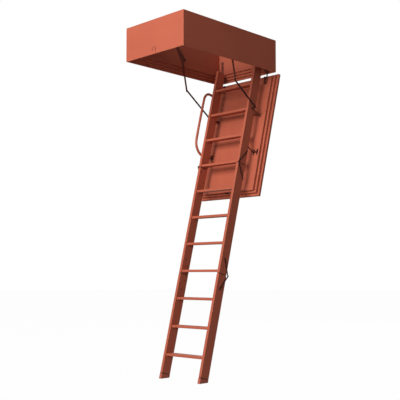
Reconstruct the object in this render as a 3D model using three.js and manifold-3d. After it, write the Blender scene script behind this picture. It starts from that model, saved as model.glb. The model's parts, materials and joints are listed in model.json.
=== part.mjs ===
// Folding attic ladder in its insulated hatch box, opened for climbing.
// Millimetres, +Z up. The origin is the centre of the casing's bottom plane, which is the ceiling.
// +Y is the hinged end of the casing, the foot of the ladder points to -Y, the handrail is on -X.

import * as THREE from 'three';
import { mergeVertices } from 'three/addons/utils/BufferGeometryUtils.js';
import Module from 'manifold-3d';

const wasm = await Module();
wasm.setup();

// ---- driving dimensions -------------------------------------------------------------------

const GAP = 0.3; // clearance between touching pieces
const HOLE_SIDES = 16;

const CASING_LENGTH = 1160;
const CASING_WIDTH = 700;
const CASING_HEIGHT = 290;
const WALL = 47;
const STEP_WIDTH = 13; // each rebate step in the casing's lower edge
const STEP_HEIGHT = 24;
const STEPS = 3;
const RIM = WALL - STEPS * STEP_WIDTH; // what is left of the wall at the very bottom
const INNER_WALL_X = CASING_WIDTH / 2 - WALL;

const OPEN_ANGLE = 75.5; // of the hatch and the ladder below the horizontal
const TILT = THREE.MathUtils.degToRad(OPEN_ANGLE - 90);

const LADDER_TOP = { y: 432, z: 91 }; // front corner of the stringers' top end
const CLEAR_WIDTH = 435; // between the stringers
const STRINGER_THICKNESS = 25;
const STRINGER_DEPTH = 94;
const STRINGER_INNER = CLEAR_WIDTH / 2;
const STRINGER_OUTER = STRINGER_INNER + STRINGER_THICKNESS;

const FIRST_JOINT = 958; // down the ladder, from its top end
const SECOND_JOINT = 1953;
const SHOE_TOP = 2832;
const SEAM = 2.4; // between one section of the stringers and the next
const FLOOR = -2698; // height of the floor below the ceiling

const TREAD_COUNT = 11;
const FIRST_TREAD = 194; // middle of the first tread, down the ladder
const TREAD_PITCH = 246.75;
const TREAD_DEPTH = 80;
const TREAD_THICKNESS = 22;

const FOLD_PIN_FRONT = -2; // first joint's pin, just in front of the stringers
const FOLD_PIN_BACK = 110; // second joint's pin, behind them
const LEAF_THICKNESS = 3;
const LEAF_LANE = STRINGER_OUTER + GAP;
const SECOND_LANE = LEAF_LANE + LEAF_THICKNESS + GAP;
const PIN_RADIUS = 4;

const PANEL = 24; // thickness of each of the hatch's three layers
const HATCH_MIDDLE = 625.2; // down the ladder
const HATCH_OUTER_FACE = 232.7; // behind the stringers' front
const LAYERS = [
  { name: 'hatch_cover', width: 700, length: 1160 },
  { name: 'hatch_core', width: 662, length: 1116 },
  { name: 'hatch_inner_panel', width: 624, length: 1084 },
];
const INNER_FACE = HATCH_OUTER_FACE - LAYERS.length * PANEL;

const HINGE_LANE = 246;
const HINGE_WIDTH = 25;
const HINGE_PIN = { y: 556, z: 18 };
const HATCH_PIN = { down: 93, back: 139.7 };

const BRACKET_LANE = 299.7; // arm brackets, against the casing's long walls
const LEVER_PIVOT = { y: 32, z: 141 };
const ELBOW = { y: 93, z: -146 };
const ROD_END = { y: 366, z: -342 };
const ARM_THICKNESS = 4.5;
const LEVER_LANE = 294;
const ROD_LANE = 288;

const RAIL_X = 262.5;
const RAIL_RADIUS = 12;

// ---- materials ----------------------------------------------------------------------------

const paint = { color: 0xb05a44, roughness: 0.55, metalness: 0 };
const steel = { color: 0x3c1a16, roughness: 0.45, metalness: 0.3 };
const shoe = { color: 0x8c4234, roughness: 0.7, metalness: 0 };

// ---- helpers ------------------------------------------------------------------------------

const group = new THREE.Group();

// The ladder's own frame: x across, y from the front of the stringers to the back,
// z up along the stringers, with zero at the stringers' top end.
const ladder = new THREE.Group();
ladder.position.set(0, LADDER_TOP.y, LADDER_TOP.z);
ladder.rotation.x = TILT;
group.add(ladder);

function addPiece(parent, name, geometry, finish) {
  const mesh = new THREE.Mesh(geometry, new THREE.MeshStandardMaterial(finish));
  mesh.name = name;
  parent.add(mesh);
  return mesh;
}

function toManifold(geometry) {
  const bare = geometry.clone();
  bare.deleteAttribute('normal');
  bare.deleteAttribute('uv');
  const merged = mergeVertices(bare, 1e-4);
  return new wasm.Manifold(new wasm.Mesh({
    numProp: 3,
    vertProperties: new Float32Array(merged.attributes.position.array),
    triVerts: new Uint32Array(merged.index.array),
  }));
}

function fromManifold(solid) {
  const mesh = solid.getMesh();
  const geometry = new THREE.BufferGeometry();
  geometry.setAttribute('position', new THREE.BufferAttribute(mesh.vertProperties, 3));
  geometry.setIndex(new THREE.BufferAttribute(mesh.triVerts, 1));
  geometry.computeVertexNormals();
  return geometry;
}

function joined(...pieces) {
  return fromManifold(pieces.map(toManifold).reduce((whole, piece) => whole.add(piece)));
}

function drilled(geometry, tools) {
  const whole = toManifold(geometry);
  return fromManifold(tools.map(toManifold).reduce((rest, tool) => rest.subtract(tool), whole));
}

function box(x, y, z) {
  const geometry = new THREE.BoxGeometry(x[1] - x[0], y[1] - y[0], z[1] - z[0]);
  return geometry.translate((x[0] + x[1]) / 2, (y[0] + y[1]) / 2, (z[0] + z[1]) / 2);
}

// A round bar along x, between two values of x.
function barAlongX(radius, x, y, z, sides = 16) {
  const geometry = new THREE.CylinderGeometry(radius, radius, x[1] - x[0], sides);
  geometry.rotateZ(Math.PI / 2);
  return geometry.translate((x[0] + x[1]) / 2, y, z);
}

function barAlongY(radius, x, y, z, sides = 12) {
  const geometry = new THREE.CylinderGeometry(radius, radius, y[1] - y[0], sides);
  return geometry.translate(x, (y[0] + y[1]) / 2, z);
}

// An outline in (y, z) made into a plate between two values of x.
function plateAlongX(shape, x, curveSegments = 4) {
  const depth = x[1] - x[0];
  const geometry = new THREE.ExtrudeGeometry(shape, { depth, bevelEnabled: false, curveSegments });
  const toYZ = new THREE.Matrix4().set(0, 0, 1, x[0], 1, 0, 0, 0, 0, 1, 0, 0, 0, 0, 0, 1);
  return geometry.applyMatrix4(toYZ);
}

function polygon(points) {
  return new THREE.Shape(points.map(([y, z]) => new THREE.Vector2(y, z)));
}

// The outline that a cord drawn round equal discs would follow.
// The discs' centres are given anticlockwise.
function roundedOutline(centres, radius) {
  const shape = new THREE.Shape();
  const heading = (from, to) => Math.atan2(to[1] - from[1], to[0] - from[0]);
  centres.forEach((centre, i) => {
    const before = centres[(i + centres.length - 1) % centres.length];
    const after = centres[(i + 1) % centres.length];
    const start = heading(before, centre) - Math.PI / 2;
    let end = heading(centre, after) - Math.PI / 2;
    while (end <= start) end += 2 * Math.PI;
    shape.absarc(centre[0], centre[1], radius, start, end, false);
  });
  return shape;
}

// A hole with flats that keep the full radius clear.
function roundHole(shape, y, z, radius) {
  const reach = radius / Math.cos(Math.PI / HOLE_SIDES);
  const corners = Array.from({ length: HOLE_SIDES }, (_, i) => {
    const angle = (-2 * Math.PI * i) / HOLE_SIDES;
    return new THREE.Vector2(y + reach * Math.cos(angle), z + reach * Math.sin(angle));
  });
  shape.holes.push(new THREE.Path(corners));
  return shape;
}

// A lane given outwards from the middle, turned into a range of x on one side.
function onSide(side, near, far) {
  return side > 0 ? [near, far] : [-far, -near];
}

const SIDES = [['left', -1], ['right', 1]];

// ---- casing -------------------------------------------------------------------------------

// Half a picture frame's joint at each end: local x along the board, y into the wall, z up.
function casingBoard(length) {
  const outline = [[0, 0]];
  for (let step = 0; step < STEPS; step += 1) {
    const inset = RIM + step * STEP_WIDTH;
    outline.push([inset, step * STEP_HEIGHT], [inset, (step + 1) * STEP_HEIGHT]);
  }
  outline.push([WALL, STEPS * STEP_HEIGHT], [WALL, CASING_HEIGHT], [0, CASING_HEIGHT]);
  const geometry = new THREE.ExtrudeGeometry(polygon(outline), { depth: 1, bevelEnabled: false });
  const position = geometry.attributes.position;
  for (let i = 0; i < position.count; i += 1) {
    const inset = position.getX(i);
    const height = position.getY(i);
    const end = position.getZ(i) < 0.5 ? -1 : 1;
    position.setXYZ(i, end * (length / 2 - inset - GAP / 2), inset, height);
  }
  return geometry;
}

const SCREW_HOLE = 5.5; // counterbored for the heads
const LONG_BOARD_HOLES = [[-26, 236], [69, 138], [531, 236], [531, 138]]; // [y, height]
const LOCK_HOLES = [[-3, 55], [-18, 39], [15, 39]]; // [x, height]
const LOCK_SLOT = { x: 24.5, width: 4, height: 67 };

function screwHole([along, height]) {
  return barAlongY(SCREW_HOLE, along, [-1, WALL + 1], height);
}

for (const [name, side] of SIDES) {
  const holes = LONG_BOARD_HOLES.map(([y, height]) => screwHole([side * y, height]));
  const board = addPiece(group, `casing_${name}_board`, drilled(casingBoard(CASING_LENGTH), holes), paint);
  board.position.x = side * CASING_WIDTH / 2;
  board.rotation.z = side * Math.PI / 2;
}

const lockSlot = box(
  [LOCK_SLOT.x - LOCK_SLOT.width / 2, LOCK_SLOT.x + LOCK_SLOT.width / 2],
  [-1, RIM - 2],
  [-1, LOCK_SLOT.height],
);
const footBoard = drilled(casingBoard(CASING_WIDTH), [...LOCK_HOLES.map(screwHole), lockSlot]);
addPiece(group, 'casing_foot_board', footBoard, paint).position.y = -CASING_LENGTH / 2;

const hingeBoard = addPiece(group, 'casing_hinge_board', casingBoard(CASING_WIDTH), paint);
hingeBoard.position.y = CASING_LENGTH / 2;
hingeBoard.rotation.z = Math.PI;

// ---- hatch --------------------------------------------------------------------------------

const BOLT_SLOT = { width: 17, height: 11, depth: 34 };
const BOLT = { width: 16, height: 10, nose: 8 };
const BOLT_OUT = 11; // how far the latch bolt stands out of the panel's end
const BOLT_TRAVEL = 9;
const PLATE = 2; // thickness of the lock plates
const LOCK_PLATE = { width: 52, height: 18 };
const STRIKE = { width: 50, foot: 25, lip: 9, top: 47 };
const END_OF_PANEL = -HATCH_MIDDLE - LAYERS[2].length / 2;
const BOLT_Y = INNER_FACE + PANEL / 2;

const HINGE_NOTCH = 14; // room for the hinges in the upper end of the two inner layers

function hingeNotches(upperEnd) {
  return SIDES.map(([, side]) => box(
    onSide(side, HINGE_LANE - 2, HINGE_LANE + HINGE_WIDTH + 7),
    [INNER_FACE - 1, HATCH_OUTER_FACE - PANEL],
    [upperEnd - HINGE_NOTCH, upperEnd + 1],
  ));
}

LAYERS.forEach((layer, i) => {
  const back = HATCH_OUTER_FACE - i * PANEL;
  let panel = box(
    [-layer.width / 2, layer.width / 2],
    [back - PANEL + GAP, back],
    [-HATCH_MIDDLE - layer.length / 2, -HATCH_MIDDLE + layer.length / 2],
  );
  if (i > 0) panel = drilled(panel, hingeNotches(-HATCH_MIDDLE + layer.length / 2));
  if (layer.name === 'hatch_inner_panel') {
    const slot = box(
      [-BOLT_SLOT.width / 2, BOLT_SLOT.width / 2],
      [BOLT_Y - BOLT_SLOT.height / 2, BOLT_Y + BOLT_SLOT.height / 2],
      [END_OF_PANEL - 1, END_OF_PANEL + BOLT_SLOT.depth],
    );
    panel = drilled(panel, [slot]);
  }
  addPiece(ladder, layer.name, panel, paint);
});

const lockPlate = drilled(
  box(
    [-LOCK_PLATE.width / 2, LOCK_PLATE.width / 2],
    [BOLT_Y - LOCK_PLATE.height / 2, BOLT_Y + LOCK_PLATE.height / 2],
    [END_OF_PANEL - GAP - PLATE, END_OF_PANEL - GAP],
  ),
  [box(
    [-BOLT_SLOT.width / 2, BOLT_SLOT.width / 2],
    [BOLT_Y - BOLT_SLOT.height / 2, BOLT_Y + BOLT_SLOT.height / 2],
    [END_OF_PANEL - 5, END_OF_PANEL + 5],
  )],
);
addPiece(ladder, 'lock_front_plate', lockPlate, steel);

// The bolt's nose is sloped on the side that meets the strike first.
const boltEnd = END_OF_PANEL - BOLT_OUT;
const boltBack = END_OF_PANEL + BOLT_SLOT.depth - BOLT_TRAVEL - 2;
const boltNear = BOLT_Y - BOLT.height / 2;
const boltFar = BOLT_Y + BOLT.height / 2;
const boltOutline = polygon([
  [boltNear, boltEnd + BOLT.nose], [BOLT_Y + 1, boltEnd], [boltFar, boltEnd],
  [boltFar, boltBack], [boltNear, boltBack],
]);
const latchBolt = plateAlongX(boltOutline, [-BOLT.width / 2, BOLT.width / 2]);
addPiece(ladder, 'latch_bolt', latchBolt, steel);

// The strike is an angle on the foot board's middle step.
const strikeBack = -CASING_LENGTH / 2 + RIM + STEP_WIDTH + GAP;
const strike = polygon([
  [strikeBack, STRIKE.foot], [strikeBack + STRIKE.lip, STRIKE.foot],
  [strikeBack + STRIKE.lip, STRIKE.foot + PLATE], [strikeBack + PLATE, STRIKE.foot + PLATE],
  [strikeBack + PLATE, STRIKE.top], [strikeBack, STRIKE.top],
]);
const strikePlate = plateAlongX(strike, [-STRIKE.width / 2, STRIKE.width / 2]);
addPiece(group, 'strike_plate', strikePlate, steel);

// ---- hatch hinges -------------------------------------------------------------------------

const STRAP = 3.5;
const STRAP_HOLES = [187, 143];
const STRAP_TOP = STRAP_HOLES[0];
const STRAP_HOLE_RADIUS = 2.8;
const EYE = 6;
const UPPER_PIN_RADIUS = 3;
const LINK_THICKNESS = 4;
const LINK_LANE = HINGE_LANE + HINGE_WIDTH + 1;
const LEAF_BASE = [-155, -99]; // the hatch leaf's base, along the hatch
const EAR = { radius: 8, thickness: 4, above: 10, end: -140, offFace: 9 };
const hatchPinPoint = ladderToBox(HATCH_PIN);

function ladderToBox({ down, back }) {
  return {
    y: LADDER_TOP.y + back * Math.cos(TILT) - down * -Math.sin(TILT),
    z: LADDER_TOP.z + back * Math.sin(TILT) - down * Math.cos(TILT),
  };
}

// A flat strap on the wall, cranked out over the rebate steps to an eye for the pin.
function hingeStrap(x) {
  const wall = CASING_LENGTH / 2 - WALL - GAP;
  const bend = STEPS * STEP_HEIGHT + 4;
  const strap = plateAlongX(polygon([
    [wall, STRAP_TOP], [wall - STRAP, STRAP_TOP], [wall - STRAP, bend],
    [HINGE_PIN.y - EYE + 0.5, HINGE_PIN.z + 1], [HINGE_PIN.y + 1, HINGE_PIN.z + 1],
    [HINGE_PIN.y, HINGE_PIN.z + EYE], [wall, STEPS * STEP_HEIGHT],
  ]), x);
  const eye = barAlongX(EYE, x, HINGE_PIN.y, HINGE_PIN.z);
  const middle = (x[0] + x[1]) / 2;
  const roundTop = barAlongY(HINGE_WIDTH / 2, middle, [wall - STRAP, wall], STRAP_TOP, 24);
  const holes = STRAP_HOLES.map((z) => barAlongY(STRAP_HOLE_RADIUS, middle, [wall - 10, wall + 5], z));
  const bore = barAlongX(UPPER_PIN_RADIUS + GAP, [x[0] - 1, x[1] + 1], HINGE_PIN.y, HINGE_PIN.z);
  return drilled(joined(strap, roundTop, eye), [...holes, bore]);
}

for (const [name, side] of SIDES) {
  const lane = onSide(side, HINGE_LANE, HINGE_LANE + HINGE_WIDTH);
  addPiece(group, `hinge_strap_${name}`, hingeStrap(lane), steel);

  // The link carries the upper pin.
  const linkLane = onSide(side, LINK_LANE, LINK_LANE + LINK_THICKNESS);
  const bar = plateAlongX(roundedOutline([
    [HINGE_PIN.y, HINGE_PIN.z], [hatchPinPoint.y, hatchPinPoint.z],
  ], EYE), linkLane);
  const pinLane = onSide(side, HINGE_LANE - 2, LINK_LANE + 1);
  const pin = barAlongX(UPPER_PIN_RADIUS, pinLane, HINGE_PIN.y, HINGE_PIN.z);
  addPiece(group, `hinge_link_${name}`, joined(bar, pin), steel);

  // The hatch's leaf is a base with an upright ear and the lower pin.
  const base = box(lane, [INNER_FACE - STRAP, INNER_FACE - GAP / 2], LEAF_BASE);
  const earFoot = INNER_FACE - EAR.offFace;
  const ear = plateAlongX(roundedOutline([
    [HATCH_PIN.back, -HATCH_PIN.down], [earFoot, EAR.end], [earFoot, -HATCH_PIN.down - EAR.above],
  ], EAR.radius), onSide(side, HINGE_LANE, HINGE_LANE + EAR.thickness));
  const lowerPinLane = onSide(side, HINGE_LANE + 1, LINK_LANE - 2);
  const lowerPin = barAlongX(PIN_RADIUS, lowerPinLane, HATCH_PIN.back, -HATCH_PIN.down);
  addPiece(ladder, `hatch_leaf_${name}`, joined(base, ear, lowerPin), steel);
}

// ---- ladder sections ----------------------------------------------------------------------

const SECTIONS = [
  { name: 'upper', from: 0, to: FIRST_JOINT - SEAM / 2 },
  { name: 'middle', from: FIRST_JOINT + SEAM / 2, to: SECOND_JOINT - SEAM / 2 },
  { name: 'lower', from: SECOND_JOINT + SEAM / 2, to: SHOE_TOP - GAP },
];

for (const section of SECTIONS) {
  for (const [name, side] of SIDES) {
    const stringer = box(
      onSide(side, STRINGER_INNER, STRINGER_OUTER),
      [0, STRINGER_DEPTH],
      [-section.to, -section.from],
    );
    addPiece(ladder, `${section.name}_stringer_${name}`, stringer, paint);
  }
}

// Flat treads that lie level when the ladder leans at its working angle.
function treadGeometry() {
  const radius = 4;
  const y = TREAD_DEPTH / 2 - radius;
  const z = TREAD_THICKNESS / 2 - radius;
  const outline = roundedOutline([[-y, -z], [y, -z], [y, z], [-y, z]], radius);
  return plateAlongX(outline, [-STRINGER_INNER + GAP, STRINGER_INNER - GAP], 1);
}

const TREAD_MIDDLE = STRINGER_DEPTH / 2 + 2; // behind the stringers' front

for (let i = 0; i < TREAD_COUNT; i += 1) {
  const tread = addPiece(ladder, `tread_${String(i + 1).padStart(2, '0')}`, treadGeometry(), paint);
  tread.position.set(0, TREAD_MIDDLE, -FIRST_TREAD - i * TREAD_PITCH);
  tread.rotation.x = -TILT;
}

// Each shoe carries on the stringer's line and is cut level at the floor.
const SHOE_PROUD = 1.5; // past the stringer's faces, all round

function shoeOutline() {
  const downAtFloor = (y) => (LADDER_TOP.z - FLOOR + y * Math.sin(TILT)) / Math.cos(TILT);
  const front = -SHOE_PROUD;
  const back = STRINGER_DEPTH + SHOE_PROUD;
  return polygon([
    [front, -SHOE_TOP], [front, -downAtFloor(front)],
    [back, -downAtFloor(back)], [back, -SHOE_TOP],
  ]);
}

for (const [name, side] of SIDES) {
  const lane = onSide(side, STRINGER_INNER - SHOE_PROUD, STRINGER_OUTER + SHOE_PROUD);
  addPiece(ladder, `shoe_${name}`, plateAlongX(shoeOutline(), lane), shoe);
}

// ---- folding hinges between the sections --------------------------------------------------

const LEAF_HALF_WIDTH = 5.5;
const FOLD_HINGES = [
  { name: 'first', pin: [FOLD_PIN_FRONT, -FIRST_JOINT], above: [86, -826], below: [86, -1091] },
  { name: 'second', pin: [FOLD_PIN_BACK, -SECOND_JOINT], above: [37, -1815], below: [37, -2086] },
];

function between(start, end, part) {
  return [start[0] + (end[0] - start[0]) * part, start[1] + (end[1] - start[1]) * part];
}

for (const hinge of FOLD_HINGES) {
  for (const [name, side] of SIDES) {
    const innerLane = onSide(side, LEAF_LANE, LEAF_LANE + LEAF_THICKNESS);
    const outerLane = onSide(side, SECOND_LANE, SECOND_LANE + LEAF_THICKNESS);

    const above = plateAlongX(roundedOutline([hinge.pin, hinge.above], LEAF_HALF_WIDTH), innerLane);
    const pinLane = onSide(side, LEAF_LANE + 1, SECOND_LANE + LEAF_THICKNESS + 2);
    const pin = barAlongX(PIN_RADIUS, pinLane, hinge.pin[0], hinge.pin[1]);
    addPiece(ladder, `${hinge.name}_fold_leaf_above_${name}`, joined(above, pin), steel);

    // The leaf below stands off the stringer on two washers, outside the leaf above.
    const outline = roundedOutline([hinge.pin, hinge.below], LEAF_HALF_WIDTH);
    const below = plateAlongX(roundHole(outline, hinge.pin[0], hinge.pin[1], PIN_RADIUS + GAP), outerLane);
    const washers = [0.62, 1].map((part) => {
      const [y, z] = between(hinge.pin, hinge.below, part);
      return barAlongX(LEAF_HALF_WIDTH + 1, onSide(side, LEAF_LANE, SECOND_LANE + 1), y, z);
    });
    addPiece(ladder, `${hinge.name}_fold_leaf_below_${name}`, joined(below, ...washers), steel);
  }
}

// ---- brackets between the ladder and the hatch --------------------------------------------

const FOOT_FACE = INNER_FACE - GAP;

// A V of two bars, bolted to the stringer, that meet on a foot against the hatch.
function upperBracket(side) {
  const lane = onSide(side, SECOND_LANE, SECOND_LANE + 3);
  const tip = [FOOT_FACE - 9, -458];
  const bolts = [[66, -440], [84, -484]];
  const bars = bolts.map((bolt) => plateAlongX(roundedOutline([bolt, tip], 6), lane));
  const washers = bolts.map(([y, z]) => barAlongX(7, onSide(side, LEAF_LANE, SECOND_LANE + 1), y, z));
  const foot = box(onSide(side, SECOND_LANE, 266), [FOOT_FACE - 4, FOOT_FACE], [-474, -442]);
  return joined(...bars, foot, ...washers);
}

// The lower bracket ends in an H of two short runners and a cross bar.
function lowerBracket(side) {
  const bolt = [85, -792];
  const bar = plateAlongX(
    roundedOutline([bolt, [FOOT_FACE - 9, -813]], 5),
    onSide(side, SECOND_LANE, SECOND_LANE + 3),
  );
  const washer = barAlongX(6, onSide(side, LEAF_LANE, SECOND_LANE + 1), bolt[0], bolt[1]);
  const crossBar = box(onSide(side, SECOND_LANE, 298), [FOOT_FACE - 13, FOOT_FACE - 5], [-817, -809]);
  const runners = [257, 295].map((x) => (
    box(onSide(side, x - 3.5, x + 3.5), [FOOT_FACE - 11, FOOT_FACE], [-838, -788])
  ));
  return joined(bar, washer, crossBar, ...runners);
}

for (const [name, side] of SIDES) {
  addPiece(ladder, `upper_bracket_${name}`, upperBracket(side), steel);
  addPiece(ladder, `lower_bracket_${name}`, lowerBracket(side), steel);
}

// ---- handrail -----------------------------------------------------------------------------

const RAIL_TOP = [15, -240];
const RAIL_BOTTOM = [22, -832];
const railRoute = [
  RAIL_TOP, [-25, -243], [-55, -264], [-70, -302], [-72, -350],
  [-72, -700], [-65, -752], [-40, -795], [-8, -820], RAIL_BOTTOM,
].map(([y, z]) => new THREE.Vector3(-RAIL_X, y, z));
const railOutline = new THREE.Shape().absarc(0, 0, RAIL_RADIUS, 0, 2 * Math.PI, false);
const rail = new THREE.ExtrudeGeometry(railOutline, {
  steps: 36,
  curveSegments: 6,
  extrudePath: new THREE.CatmullRomCurve3(railRoute),
});
addPiece(ladder, 'handrail', rail, paint);

[['top', RAIL_TOP], ['bottom', RAIL_BOTTOM]].forEach(([name, [y, z]]) => {
  const spacer = barAlongX(9, onSide(-1, LEAF_LANE, RAIL_X - RAIL_RADIUS - GAP), y, z);
  addPiece(ladder, `handrail_spacer_${name}`, spacer, steel);
});

// ---- folding arms -------------------------------------------------------------------------

const ARM_HALF_WIDTH = 9;
const ARM_BRACKET_RADIUS = 14;

for (const [name, side] of SIDES) {
  const bracketLane = onSide(side, BRACKET_LANE, INNER_WALL_X - GAP);
  const [upperScrew, lowerScrew] = LONG_BOARD_HOLES;
  const plate = plateAlongX(roundedOutline([
    upperScrew, [LEVER_PIVOT.y, LEVER_PIVOT.z - 6], lowerScrew,
  ], ARM_BRACKET_RADIUS), bracketLane);
  const pivotLane = onSide(side, LEVER_LANE - 1, BRACKET_LANE + 1);
  const pivot = barAlongX(PIN_RADIUS, pivotLane, LEVER_PIVOT.y, LEVER_PIVOT.z);
  addPiece(group, `arm_bracket_${name}`, joined(plate, pivot), steel);

  const lever = roundedOutline([[LEVER_PIVOT.y, LEVER_PIVOT.z], [ELBOW.y, ELBOW.z]], ARM_HALF_WIDTH);
  roundHole(lever, LEVER_PIVOT.y, LEVER_PIVOT.z, PIN_RADIUS + GAP);
  roundHole(lever, ELBOW.y, ELBOW.z, PIN_RADIUS + GAP);
  const leverLane = onSide(side, LEVER_LANE, LEVER_LANE + ARM_THICKNESS);
  addPiece(group, `lever_${name}`, plateAlongX(lever, leverLane), steel);

  const rod = plateAlongX(
    roundedOutline([[ELBOW.y, ELBOW.z], [ROD_END.y, ROD_END.z]], ARM_HALF_WIDTH - 1),
    onSide(side, ROD_LANE, ROD_LANE + ARM_THICKNESS),
  );
  const elbowLane = onSide(side, ROD_LANE + 1, LEVER_LANE + ARM_THICKNESS + 2 * GAP);
  const elbowPin = barAlongX(PIN_RADIUS, elbowLane, ELBOW.y, ELBOW.z);
  addPiece(group, `rod_${name}`, joined(rod, elbowPin), steel);

  const stand = barAlongX(7, onSide(side, LEAF_LANE, ROD_LANE - GAP), ROD_END.y, ROD_END.z);
  addPiece(group, `rod_end_pin_${name}`, stand, steel);
}

export default group;
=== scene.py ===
# %% [markdown]
# # A folding attic ladder, opened for climbing
#
# The real object is a softwood casing that fills a hole in the ceiling, a thick hatch
# that hangs from one end of it, and a wooden ladder in three sections that unfolds over
# the hatch. Everything is painted one terracotta red, and the hinges are nearly black.
#
# The moving frame is loaded first. It says where each part is and what it moves with, so
# every piece made here takes its place from the frame and none is fitted by eye.

# %% Load the frame
import json
import math
import bpy
import bmesh
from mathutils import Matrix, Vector


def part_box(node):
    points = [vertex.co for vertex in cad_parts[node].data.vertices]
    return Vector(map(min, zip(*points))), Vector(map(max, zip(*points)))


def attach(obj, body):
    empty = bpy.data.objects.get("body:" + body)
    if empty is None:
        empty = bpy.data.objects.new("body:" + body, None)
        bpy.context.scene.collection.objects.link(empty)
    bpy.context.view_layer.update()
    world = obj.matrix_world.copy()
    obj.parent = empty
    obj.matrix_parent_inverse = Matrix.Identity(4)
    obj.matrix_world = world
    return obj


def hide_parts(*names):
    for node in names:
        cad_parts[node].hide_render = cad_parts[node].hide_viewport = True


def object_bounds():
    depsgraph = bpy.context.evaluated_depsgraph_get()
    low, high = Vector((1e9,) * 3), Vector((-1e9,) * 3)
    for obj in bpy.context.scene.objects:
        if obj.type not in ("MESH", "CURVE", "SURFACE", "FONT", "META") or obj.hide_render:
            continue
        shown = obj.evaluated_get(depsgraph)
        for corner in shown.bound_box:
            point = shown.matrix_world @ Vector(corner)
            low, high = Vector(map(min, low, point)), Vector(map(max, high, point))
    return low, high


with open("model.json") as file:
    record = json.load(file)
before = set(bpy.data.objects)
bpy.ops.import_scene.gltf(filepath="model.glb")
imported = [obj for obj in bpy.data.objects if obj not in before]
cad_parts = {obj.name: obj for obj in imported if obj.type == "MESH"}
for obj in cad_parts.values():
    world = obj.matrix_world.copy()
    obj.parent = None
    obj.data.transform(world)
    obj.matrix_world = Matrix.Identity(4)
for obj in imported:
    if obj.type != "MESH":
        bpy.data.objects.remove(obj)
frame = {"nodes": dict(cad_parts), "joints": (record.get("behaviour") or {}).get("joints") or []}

model_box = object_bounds()
nodes = frame["nodes"]
SIDES = {"left": -1, "right": 1}
print("parts:", len(nodes), "box:", [tuple(round(v, 3) for v in corner) for corner in model_box])

# %% [markdown]
# ## The ladder's own frame
#
# The ladder leans, so a place on it is easiest to say in its own terms: how far across,
# how far down from the top of the stringers, and how far back from their front edge.
# The lean is read from the ladder's slide, because the ladder slides along itself. The top
# corner comes from a stringer's box: its highest corner, less the stringer's known depth.

# %% Ladder frame
slide = next(joint for joint in frame["joints"] if joint["name"] == "ladder_slide")
DOWN = Vector(slide["axis"]).normalized()
BACK = Vector((0, -DOWN.z, DOWN.y))
STRINGER_DEPTH = 0.094
stringer_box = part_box("upper_stringer_right")
ladder_top = Vector((0, stringer_box[1].y - STRINGER_DEPTH * BACK.y, stringer_box[1].z))
LEAN = math.atan2(BACK.z, BACK.y)


def on_ladder(x, down, back):
    """A point of the row frame from a place on the ladder, all in metres."""
    return Vector((x, 0, 0)) + ladder_top + DOWN * down + BACK * back


print("ladder leans", round(math.degrees(-LEAN), 1), "degrees from upright, top at", ladder_top[:])

# %% [markdown]
# ## Camera
#
# The view is taken from well below the ceiling and to the right. A camera tipped far up
# makes upright edges lean together, so part of the tilt is replaced by a small lens
# shift, as a photographer does by raising the lens on its mount.

# %% Camera
camera_data = bpy.data.cameras.new("camera")
camera_data.lens = 69.56
camera_data.sensor_width = 36
camera_data.shift_y = 0.08
camera_data.clip_end = 100
camera = bpy.data.objects.new("camera", camera_data)
camera.location = (4.663, -4.786, -1.817)
camera.rotation_euler = (math.radians(93.18), 0, math.radians(44.48))
bpy.context.collection.objects.link(camera)
bpy.context.scene.camera = camera

# %% [markdown]
# ## Floor and light
#
# One large soft lamp in front lights the faces that look towards the foot of the ladder,
# and only grazes the long side of the casing, which stays in shade. A weaker lamp behind
# shows the outside of the hatch. The surroundings are
# white to look at but give only a little light, so that the shade stays deep.

# %% Floor
FLOOR_RADIUS = 40
FLOOR_CLEARANCE = 0.001
PAPER_SHARE = 0.98
floor_level = model_box[0].z - FLOOR_CLEARANCE
floor_mesh = bpy.data.meshes.new("floor")
sheet = bmesh.new()
bmesh.ops.create_circle(sheet, cap_ends=True, segments=64, radius=FLOOR_RADIUS)
bmesh.ops.translate(sheet, verts=sheet.verts, vec=(0, 0, floor_level))
sheet.to_mesh(floor_mesh)
sheet.free()
floor = bpy.data.objects.new("floor", floor_mesh)
bpy.context.collection.objects.link(floor)

floor_finish = bpy.data.materials.new("pale_floor")
floor_finish.use_nodes = True
floor_tree = floor_finish.node_tree
floor_shader = floor_tree.nodes["Principled BSDF"]
floor_shader.inputs["Base Color"].default_value = (0.35, 0.35, 0.35, 1)
floor_shader.inputs["Roughness"].default_value = 0.9
lit_paper = floor_tree.nodes.new("ShaderNodeEmission")
lit_paper.inputs["Strength"].default_value = 1.0
seen = floor_tree.nodes.new("ShaderNodeLightPath")
share = floor_tree.nodes.new("ShaderNodeMath")
share.operation = "MULTIPLY"
share.inputs[1].default_value = PAPER_SHARE
paper_mix = floor_tree.nodes.new("ShaderNodeMixShader")
floor_tree.links.new(seen.outputs["Is Camera Ray"], share.inputs[0])
floor_tree.links.new(share.outputs[0], paper_mix.inputs["Fac"])
floor_tree.links.new(floor_shader.outputs[0], paper_mix.inputs[1])
floor_tree.links.new(lit_paper.outputs[0], paper_mix.inputs[2])
floor_tree.links.new(paper_mix.outputs[0], floor_tree.nodes["Material Output"].inputs["Surface"])
floor_mesh.materials.append(floor_finish)

# %% Lamps and surroundings
SURROUNDINGS_LIGHT = 0.145


def area_lamp(name, place, target, size, power):
    """A square lamp that faces a target."""
    data = bpy.data.lights.new(name, "AREA")
    data.size = size
    data.energy = power
    lamp = bpy.data.objects.new(name, data)
    lamp.location = place
    lamp.rotation_euler = (Vector(target) - Vector(place)).to_track_quat("-Z", "Y").to_euler()
    bpy.context.collection.objects.link(lamp)


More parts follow.
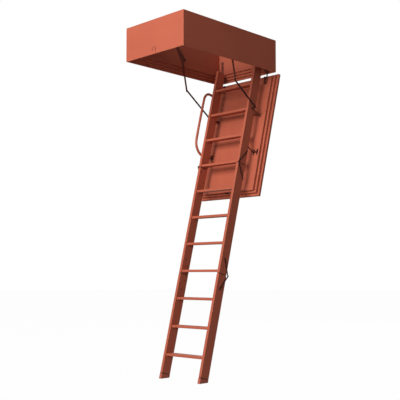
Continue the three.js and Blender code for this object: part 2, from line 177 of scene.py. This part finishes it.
area_lamp("key", (0.9, -8.1, 1.7), (0, 0.2, -0.9), 4.6, 900)
area_lamp("fill", (6.5, -4.5, -0.8), (0, 0, -0.6), 3.0, 45)
area_lamp("back", (-3.5, 7.0, 1.5), (0, 0.3, -0.9), 3.5, 380)

world = bpy.data.worlds.new("surroundings")
world.use_nodes = True
bpy.context.scene.world = world
world_nodes = world.node_tree.nodes
world_links = world.node_tree.links
world_nodes.clear()
dim = world_nodes.new("ShaderNodeBackground")
dim.inputs["Color"].default_value = (1, 1, 1, 1)
dim.inputs["Strength"].default_value = SURROUNDINGS_LIGHT
white = world_nodes.new("ShaderNodeBackground")
white.inputs["Color"].default_value = (1, 1, 1, 1)
white.inputs["Strength"].default_value = 1.0
path = world_nodes.new("ShaderNodeLightPath")
mix = world_nodes.new("ShaderNodeMixShader")
out = world_nodes.new("ShaderNodeOutputWorld")
world_links.new(path.outputs["Is Camera Ray"], mix.inputs["Fac"])
world_links.new(dim.outputs[0], mix.inputs[1])
world_links.new(white.outputs[0], mix.inputs[2])
world_links.new(mix.outputs[0], out.inputs["Surface"])
bpy.context.scene.view_settings.view_transform = "Standard"

# %% [markdown]
# ## Three shared effects
#
# Brushed paint over timber shows three things: a slow drift in shade, the soft ridges of
# the grain under the paint, and the fine peel of the paint itself. Each could be painted
# on a picture, but noise at three scales does it with no picture and follows any board.
# The grain needs to run along the board, so each finish stretches the noise its own way.
#
# Edges are the second effect. Paint wears thin there, and the edges are also given a painted
# highlight: the paint is made lighter along them. The Bevel node gives the normal that a rounded edge
# would have, and where that differs from the flat face's normal, there is an edge.
#
# Seams are the third. Where one piece of a stringer ends and the next begins, the joint is a narrow
# gap that lies in shade. The gap is thinner than its shade looks at a distance, so a band of paint on
# each side of the joint is darkened as painted shade.

# %% Effect groups


def add_socket(group, name, direction, kind, value=None):
    """A named input or output on a node group."""
    socket = group.interface.new_socket(name=name, in_out=direction, socket_type=kind)
    if value is not None:
        socket.default_value = value
    return socket


def noise(tree, vector, scale, detail):
    """A noise texture reading the given coordinates."""
    node = tree.nodes.new("ShaderNodeTexNoise")
    node.inputs["Scale"].default_value = scale
    node.inputs["Detail"].default_value = detail
    tree.links.new(vector, node.inputs["Vector"])
    return node.outputs["Fac"]


def number(tree, operation, first, second, clamp=False):
    """One step of arithmetic on values or sockets."""
    node = tree.nodes.new("ShaderNodeMath")
    node.operation = operation
    node.use_clamp = clamp
    for i, value in enumerate((first, second)):
        if isinstance(value, (int, float)):
            node.inputs[i].default_value = value
        else:
            tree.links.new(value, node.inputs[i])
    return node.outputs[0]


def spread(tree, value, span, base):
    """A value scaled by a span and then raised by a base."""
    node = tree.nodes.new("ShaderNodeMath")
    node.operation = "MULTIPLY_ADD"
    tree.links.new(value, node.inputs[0])
    for i, part in ((1, span), (2, base)):
        if isinstance(part, (int, float)):
            node.inputs[i].default_value = part
        else:
            tree.links.new(part, node.inputs[i])
    return node.outputs[0]


def shade(tree, colour, factor):
    """A colour made lighter or darker by a factor."""
    node = tree.nodes.new("ShaderNodeVectorMath")
    node.operation = "SCALE"
    tree.links.new(colour, node.inputs[0])
    tree.links.new(factor, node.inputs["Scale"])
    return node.outputs["Vector"]


def make_paint_group():
    """Colour, roughness and height of brushed paint."""
    group = bpy.data.node_groups.new("brushed_paint", "ShaderNodeTree")
    add_socket(group, "Colour", "INPUT", "NodeSocketColor", (0.5, 0.12, 0.07, 1))
    add_socket(group, "Along Grain", "INPUT", "NodeSocketVector")
    add_socket(group, "Plain", "INPUT", "NodeSocketVector")
    add_socket(group, "Shine", "INPUT", "NodeSocketFloat", 0.5)
    add_socket(group, "Colour", "OUTPUT", "NodeSocketColor")
    add_socket(group, "Roughness", "OUTPUT", "NodeSocketFloat")
    add_socket(group, "Height", "OUTPUT", "NodeSocketFloat")
    into = group.nodes.new("NodeGroupInput")
    outof = group.nodes.new("NodeGroupOutput")
    drift = noise(group, into.outputs["Plain"], 2.5, 2)
    grain = noise(group, into.outputs["Along Grain"], 14, 6)
    peel = noise(group, into.outputs["Plain"], 420, 2)
    slow = spread(group, drift, 0.16, 0.92)
    fine = spread(group, grain, 0.14, 0.93)
    both = number(group, "MULTIPLY", slow, fine)
    group.links.new(shade(group, into.outputs["Colour"], both), outof.inputs["Colour"])
    group.links.new(spread(group, grain, 0.16, into.outputs["Shine"]), outof.inputs["Roughness"])
    ridge = number(group, "MULTIPLY", grain, 0.7)
    fleck = number(group, "MULTIPLY", peel, 0.3)
    group.links.new(number(group, "ADD", ridge, fleck), outof.inputs["Height"])
    return group


def make_edge_group():
    """1 on edges, which are worn and carry a painted highlight, and 0 on flat faces, broken up by
    noise.
    """
    group = bpy.data.node_groups.new("worn_and_highlighted_edges", "ShaderNodeTree")
    add_socket(group, "Plain", "INPUT", "NodeSocketVector")
    add_socket(group, "Rounding", "INPUT", "NodeSocketFloat", 0.002)
    add_socket(group, "Edge", "OUTPUT", "NodeSocketFloat")
    into = group.nodes.new("NodeGroupInput")
    outof = group.nodes.new("NodeGroupOutput")
    rounded = group.nodes.new("ShaderNodeBevel")
    rounded.samples = 4
    group.links.new(into.outputs["Rounding"], rounded.inputs["Radius"])
    flat = group.nodes.new("ShaderNodeNewGeometry")
    match = group.nodes.new("ShaderNodeVectorMath")
    match.operation = "DOT_PRODUCT"
    group.links.new(rounded.outputs[0], match.inputs[0])
    group.links.new(flat.outputs["Normal"], match.inputs[1])
    turned = number(group, "SUBTRACT", 1, match.outputs["Value"])
    strong = number(group, "MULTIPLY", turned, 5, clamp=True)
    patchy = noise(group, into.outputs["Plain"], 30, 4)
    group.links.new(number(group, "MULTIPLY", strong, patchy), outof.inputs["Edge"])
    return group


SEAM_RISE = 0.001  # the middle of a seam is this far above the piece below it


def start_down(node_name):
    """How far down the ladder a frame part starts."""
    return min((vertex.co - ladder_top).dot(DOWN) for vertex in nodes[node_name].data.vertices)


def make_seam_shade_group():
    """1 in the seams between one piece of a stringer and the next, and 0 elsewhere."""
    group = bpy.data.node_groups.new("painted_seam_shade", "ShaderNodeTree")
    add_socket(group, "Plain", "INPUT", "NodeSocketVector")
    add_socket(group, "Half Width", "INPUT", "NodeSocketFloat", 0.0034)
    add_socket(group, "Seam", "OUTPUT", "NodeSocketFloat")
    into = group.nodes.new("NodeGroupInput")
    outof = group.nodes.new("NodeGroupOutput")
    along = group.nodes.new("ShaderNodeVectorMath")
    along.operation = "DOT_PRODUCT"
    along.inputs[1].default_value = DOWN
    group.links.new(into.outputs["Plain"], along.inputs[0])
    down = number(group, "SUBTRACT", along.outputs["Value"], ladder_top.dot(DOWN))
    total = 0.0
    for below in ("middle_stringer_right", "lower_stringer_right", "shoe_right"):
        seam = start_down(below) - SEAM_RISE
        distance = number(group, "ABSOLUTE", number(group, "SUBTRACT", down, seam), 0)
        near = number(group, "LESS_THAN", distance, into.outputs["Half Width"])
        total = number(group, "ADD", near, total, clamp=True)
    group.links.new(total, outof.inputs["Seam"])
    return group


paint_group = make_paint_group()
edge_group = make_edge_group()
seam_shade_group = make_seam_shade_group()
print("effects:", paint_group.name, "and", edge_group.name)

# %% [markdown]
# ## Finishes
#
# All the timber has one colour of paint. The boards differ only in which way their grain runs: along
# the casing, across it, or down the leaning ladder. The thin ironwork is enamelled a red so dark that
# it looks black in the shade, and the screws in the casing are blackened. The arms and plates carry
# the same terracotta paint as the timber, and the darker red they are given here is painted shade.

# %% Finish builder
TERRACOTTA = (0.415, 0.095, 0.050)
OXBLOOD = (0.040, 0.0100, 0.0075)
# Painted shade: the arms' terracotta darkened to the shade they stand in.
SHADED_ARM_RED = (0.150, 0.036, 0.022)
SHOE_RED = (0.42, 0.1, 0.06)
BLACKENED = (0.012, 0.006, 0.005)
SHEEN_LEVEL = 0.3
# How far the painted shade in the seams darkens the paint.
SEAM_PAINTED_SHADE = -0.85
RELIEF_DEPTH = 0.0012
ACROSS_GRAIN = 1.0
ALONG_GRAIN = 0.07


def finish(name, colour, stretch, lean=0.0, shine=0.42, relief=0.12, edge_wear_and_highlight=0.5, rounding=0.0025,
           seams=False):
    """A painted finish whose grain is stretched by a factor along each axis."""
    material = bpy.data.materials.new(name)
    material.use_nodes = True
    tree = material.node_tree
    shader = tree.nodes["Principled BSDF"]
    shader.inputs["Specular IOR Level"].default_value = SHEEN_LEVEL
    place = tree.nodes.new("ShaderNodeTexCoord").outputs["Object"]
    turned = tree.nodes.new("ShaderNodeMapping")
    turned.inputs["Rotation"].default_value = (lean, 0, 0)
    stretched = tree.nodes.new("ShaderNodeMapping")
    stretched.inputs["Scale"].default_value = stretch
    tree.links.new(place, turned.inputs["Vector"])
    tree.links.new(turned.outputs[0], stretched.inputs["Vector"])
    paint = tree.nodes.new("ShaderNodeGroup")
    paint.node_tree = paint_group
    paint.inputs["Colour"].default_value = (*colour, 1)
    paint.inputs["Shine"].default_value = shine
    tree.links.new(stretched.outputs[0], paint.inputs["Along Grain"])
    tree.links.new(place, paint.inputs["Plain"])
    edge = tree.nodes.new("ShaderNodeGroup")
    edge.node_tree = edge_group
    edge.inputs["Rounding"].default_value = rounding
    tree.links.new(place, edge.inputs["Plain"])
    # Edges are made lighter, partly as paint worn thin and partly as a painted highlight.
    worn_highlight_and_seam_shade = spread(tree, edge.outputs["Edge"], edge_wear_and_highlight, 1.0)
    if seams:
        seam = tree.nodes.new("ShaderNodeGroup")
        seam.node_tree = seam_shade_group
        tree.links.new(place, seam.inputs["Plain"])
        # The seam mask darkens the paint along each joint: this is painted shade.
        darker = spread(tree, seam.outputs["Seam"], SEAM_PAINTED_SHADE, 1.0)
        worn_highlight_and_seam_shade = number(tree, "MULTIPLY", worn_highlight_and_seam_shade, darker)
    tree.links.new(shade(tree, paint.outputs["Colour"], worn_highlight_and_seam_shade), shader.inputs["Base Color"])
    tree.links.new(paint.outputs["Roughness"], shader.inputs["Roughness"])
    bump = tree.nodes.new("ShaderNodeBump")
    bump.inputs["Strength"].default_value = relief
    bump.inputs["Distance"].default_value = RELIEF_DEPTH
    tree.links.new(paint.outputs["Height"], bump.inputs["Height"])
    tree.links.new(bump.outputs[0], shader.inputs["Normal"])
    return material


# %% The finishes
LONG = (ACROSS_GRAIN, ALONG_GRAIN, ACROSS_GRAIN)
SHORT = (ALONG_GRAIN, ACROSS_GRAIN, ACROSS_GRAIN)
UPRIGHT = (ACROSS_GRAIN, ACROSS_GRAIN, ALONG_GRAIN)
EVEN = (1, 1, 1)
IRON_EDGE = 0.0008

finishes = {
    "long_board": finish("paint_long_board", TERRACOTTA, LONG),
    "short_board": finish("paint_short_board", TERRACOTTA, SHORT),
    "hatch": finish("paint_hatch", TERRACOTTA, UPRIGHT, lean=-LEAN, relief=0.08),
    "stringer": finish("paint_stringer", TERRACOTTA, UPRIGHT, lean=-LEAN, edge_wear_and_highlight=0.8, seams=True),
    "tread": finish("paint_tread", TERRACOTTA, SHORT, edge_wear_and_highlight=0.8),
    "tube": finish("enamel_tube", TERRACOTTA, EVEN, shine=0.3, relief=0.05, edge_wear_and_highlight=0.3),
    "iron": finish("enamel_iron", OXBLOOD, EVEN, shine=0.32, relief=0.1, edge_wear_and_highlight=1.6, rounding=IRON_EDGE),
    "shoe": finish("moulded_shoe", SHOE_RED, EVEN, shine=0.55, relief=0.3, edge_wear_and_highlight=0.4, seams=True),
    "arm": finish("enamel_arm", SHADED_ARM_RED, EVEN, shine=0.4, relief=0.1, edge_wear_and_highlight=0.8, rounding=IRON_EDGE),
    "screw": finish("blackened_screw", BLACKENED, EVEN, shine=0.5, relief=0.1, edge_wear_and_highlight=0.2),
}


def finish_for(name):
    """The finish of a frame part, from its name."""
    if name in ("casing_left_board", "casing_right_board"):
        return finishes["long_board"]
    if name.startswith("casing"):
        return finishes["short_board"]
    if name in ("hatch_cover", "hatch_core", "hatch_inner_panel"):
        return finishes["hatch"]
    if "stringer" in name:
        return finishes["stringer"]
    if name.startswith("tread"):
        return finishes["tread"]
    if name == "handrail":
        return finishes["tube"]
    if name.startswith("shoe"):
        return finishes["shoe"]
    if name.startswith(("lever", "arm_bracket", "hinge_strap", "hatch_leaf", "upper_bracket")):
        return finishes["arm"]
    return finishes["iron"]


for name, part in nodes.items():
    part.data.materials.clear()
    part.data.materials.append(finish_for(name))
print("finishes:", len(finishes))

# %% [markdown]
# ## Softened edges
#
# No sawn board keeps a knife edge: it is eased with sandpaper before it is painted. The
# frame's parts arrive with sharp edges and loose triangles, so each one gets a weld and
# then a small bevel as modifiers. That leaves the frame's own mesh alone.

# %% Ease the edges
EASING = {
    "stringer": 0.0022, "tread": 0.0015, "long_board": 0.0012, "short_board": 0.0012,
    "hatch": 0.0016, "shoe": 0.003, "iron": 0.0006, "arm": 0.0006,
}
MERGE_DISTANCE = 0.00002


def ease(part, width):
    """Welds a frame part and bevels its sharp edges."""
    weld = part.modifiers.new("weld", "WELD")
    weld.merge_threshold = MERGE_DISTANCE
    bevel = part.modifiers.new("eased_edges", "BEVEL")
    bevel.width = width
    bevel.segments = 2
    bevel.limit_method = "ANGLE"
    bevel.angle_limit = math.radians(40)
    bevel.use_clamp_overlap = True


for name, part in nodes.items():
    kind = next(key for key, value in finishes.items() if value == finish_for(name))
    if kind in EASING:
        ease(part, EASING[kind])
print("eased:", sum(1 for part in nodes.values() if part.modifiers))

# %% [markdown]
# ## Handrail
#
# The handrail is a bent steel tube. The frame's tube has twelve flat sides, which is
# enough to touch but not to look at. A copy with its doubles merged and two levels of
# subdivision gives the round tube, and creased end rings keep the ends cut square.

# %% Handrail tube


def merged_copy(node_name, piece_name):
    """A new object from a frame part's mesh, with its doubles merged."""
    mesh = nodes[node_name].data.copy()
    mesh.name = piece_name
    work = bmesh.new()
    work.from_mesh(mesh)
    bmesh.ops.remove_doubles(work, verts=work.verts, dist=MERGE_DISTANCE)
    flat = math.radians(1)
    bmesh.ops.dissolve_limit(work, angle_limit=flat, verts=work.verts, edges=work.edges)
    work.to_mesh(mesh)
    work.free()
    piece = bpy.data.objects.new(piece_name, mesh)
    bpy.context.collection.objects.link(piece)
    return piece


SQUARE_END = math.radians(60)
rail = merged_copy("handrail", "round_handrail")
crease = rail.data.attributes.new("crease_edge", "FLOAT", "EDGE")
sharp = bmesh.new()
sharp.from_mesh(rail.data)
sharp.edges.ensure_lookup_table()
for edge in sharp.edges:
    crease.data[edge.index].value = 1.0 if edge.calc_face_angle(0) > SQUARE_END else 0.0
sharp.free()
smooth = rail.modifiers.new("round", "SUBSURF")
smooth.levels = 2
smooth.render_levels = 2
rail.data.shade_smooth()
rail.data.materials.clear()
rail.data.materials.append(finishes["tube"])
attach(rail, "upper_section")
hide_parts("handrail")
print("handrail faces before subdivision:", len(rail.data.polygons))

# %% [markdown]
# ## Bolts and screws
#
# The ironwork is held on with domed coach bolts, and the casing with countersunk screws.
# A dome is a quarter of a circle spun once round its axis. All the heads that move with
# one body are joined into one piece, which keeps the list of pieces short.

# %% Domed head
HEAD_STEPS = 14
HEAD_RINGS = 4
SKIRT_SHARE = 0.35  # of a head's height, below the dome


def add_dome(work, centre, axis, radius, height):
    """Spins a domed bolt head with a short skirt into a bmesh."""
    axis = Vector(axis).normalized()
    across = axis.orthogonal().normalized()
    rim = [work.verts.new(Vector(centre) + across * radius)]
    for i in range(HEAD_RINGS + 1):
        angle = math.pi / 2 * i / HEAD_RINGS
        reach = across * radius * math.cos(angle)
        rise = axis * height * (SKIRT_SHARE + (1 - SKIRT_SHARE) * math.sin(angle))
        rim.append(work.verts.new(Vector(centre) + reach + rise))
    edges = [work.edges.new(pair) for pair in zip(rim, rim[1:])]
    bmesh.ops.spin(
        work, geom=rim + edges, cent=centre, axis=axis, angle=math.tau, steps=HEAD_STEPS,
        use_merge=True)


def bolt_piece(name, body, heads, material="iron"):
    """One piece from many heads: each is (centre, axis, radius, height)."""
    work = bmesh.new()
    for centre, axis, radius, height in heads:
        add_dome(work, centre, axis, radius, height)
    bmesh.ops.remove_doubles(work, verts=work.verts, dist=0.00001)
    rims = [edge for edge in work.edges if edge.is_boundary]
    bmesh.ops.holes_fill(work, edges=rims, sides=HEAD_STEPS)
    bmesh.ops.recalc_face_normals(work, faces=work.faces)
    mesh = bpy.data.meshes.new(name)
    work.to_mesh(mesh)
    work.free()
    mesh.shade_smooth()
    mesh.materials.append(finishes[material])
    piece = bpy.data.objects.new(name, mesh)
    bpy.context.collection.objects.link(piece)
    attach(piece, body)
    print(name, "heads:", len(heads))


# %% Heads on the ladder sections
OUTSIDE = 0.2425  # the stringers' outer faces, from the middle
INSIDE = 0.2175
LEAF = 0.0033  # a leaf of a folding hinge, with its clearance
OUTER_HEAD = (0.0055, 0.003)  # radius and height
INNER_HEAD = (0.005, 0.0025)
WIDE_HEAD = (0.006, 0.0025)


def both_sides(places, lane, outward, head):
    """Heads at the same (down, back) places on both sides, facing outwards or inwards."""
    heads = []
    for side in SIDES.values():
        for down, back in places:
            axis = (side if outward else -side, 0, 0)
            heads.append((on_ladder(side * lane, down, back), axis, *head))
    return heads


LEAF_ABOVE_FIRST = [(0.907, 0.032), (0.847, 0.072)]
BRACKET_BOLTS = [(0.440, 0.066), (0.484, 0.084)]
LOWER_BRACKET_BOLT = [(0.792, 0.085)]
ROD_BOLT = [(0.436, 0.044)]
upper_heads = both_sides(LEAF_ABOVE_FIRST, OUTSIDE + LEAF, True, OUTER_HEAD)
upper_heads += both_sides(LEAF_ABOVE_FIRST, INSIDE, False, INNER_HEAD)
upper_heads += both_sides(BRACKET_BOLTS, INSIDE, False, WIDE_HEAD)
upper_heads += both_sides(LOWER_BRACKET_BOLT, INSIDE, False, WIDE_HEAD)
upper_heads += both_sides(ROD_BOLT, INSIDE, False, WIDE_HEAD)
bolt_piece("bolts_upper_section", "upper_section", upper_heads)

middle_heads = both_sides([(1.0405, 0.0526), (1.091, 0.086)], OUTSIDE + 2 * LEAF, True, OUTER_HEAD)
middle_heads += both_sides([(1.001, 0.022), (1.086, 0.074)], INSIDE, False, INNER_HEAD)
middle_heads += both_sides([(1.823, 0.041), (1.877, 0.069)], OUTSIDE + LEAF, True, OUTER_HEAD)
middle_heads += both_sides([(1.823, 0.030), (1.877, 0.060)], INSIDE, False, INNER_HEAD)
bolt_piece("bolts_middle_section", "middle_section", middle_heads)

lower_heads = both_sides([(2.035, 0.065), (2.086, 0.037)], OUTSIDE + 2 * LEAF, True, OUTER_HEAD)
lower_heads += both_sides([(2.004, 0.066), (2.086, 0.037)], INSIDE, False, INNER_HEAD)
bolt_piece("bolts_lower_section", "lower_section", lower_heads)

# %% Heads on the casing
WALL_FACE = 0.350
FOOT_FACE = 0.580
BRACKET_FACE = 0.2997
SUNK = 0.0024  # how far a screw's seat lies under the face
SCREW_HEAD = (0.0054, 0.002)
PLATE_HEAD = (0.006, 0.003)
ARM_SCREWS = [(-0.026, 0.236), (0.069, 0.138)]  # (y, z) on the long walls
FAR_SCREWS = [(0.531, 0.236), (0.531, 0.138)]
LOCK_SCREWS = [(-0.003, 0.055), (-0.018, 0.039), (0.015, 0.039)]  # (x, z) on the foot board
STRAP_X = 0.2585
STRAP_FACE = 0.5292
STRAP_SCREWS = (0.187, 0.143)
casing_heads = []
for side in SIDES.values():
    for y, z in ARM_SCREWS + FAR_SCREWS:
        casing_heads.append(((side * (WALL_FACE - SUNK), y, z), (side, 0, 0), *SCREW_HEAD))
for x, z in LOCK_SCREWS:
    casing_heads.append(((x, -(FOOT_FACE - SUNK), z), (0, -1, 0), *SCREW_HEAD))
for side in SIDES.values():
    for y, z in ARM_SCREWS:
        casing_heads.append(((side * BRACKET_FACE, y, z), (-side, 0, 0), *PLATE_HEAD))
    for z in STRAP_SCREWS:
        casing_heads.append(((side * STRAP_X, STRAP_FACE, z), (0, -1, 0), *PLATE_HEAD))
bolt_piece("screws_casing", "casing", casing_heads, "screw")

# %% Heads on the arms
ROD_LANE = 0.2880  # the rods' inner faces, from the middle
ROD_THICKNESS = 0.0045
ELBOW = (0.093, -0.146)  # (y, z)
ROD_END = (0.366, -0.342)
for name, side in SIDES.items():
    elbow_head = ((side * ROD_LANE, *ELBOW), (-side, 0, 0), 0.008, 0.004)
    end_head = ((side * (ROD_LANE + ROD_THICKNESS), *ROD_END), (side, 0, 0), 0.009, 0.004)
    bolt_piece(f"rod_heads_{name}", f"rod_{name}", [elbow_head, end_head])
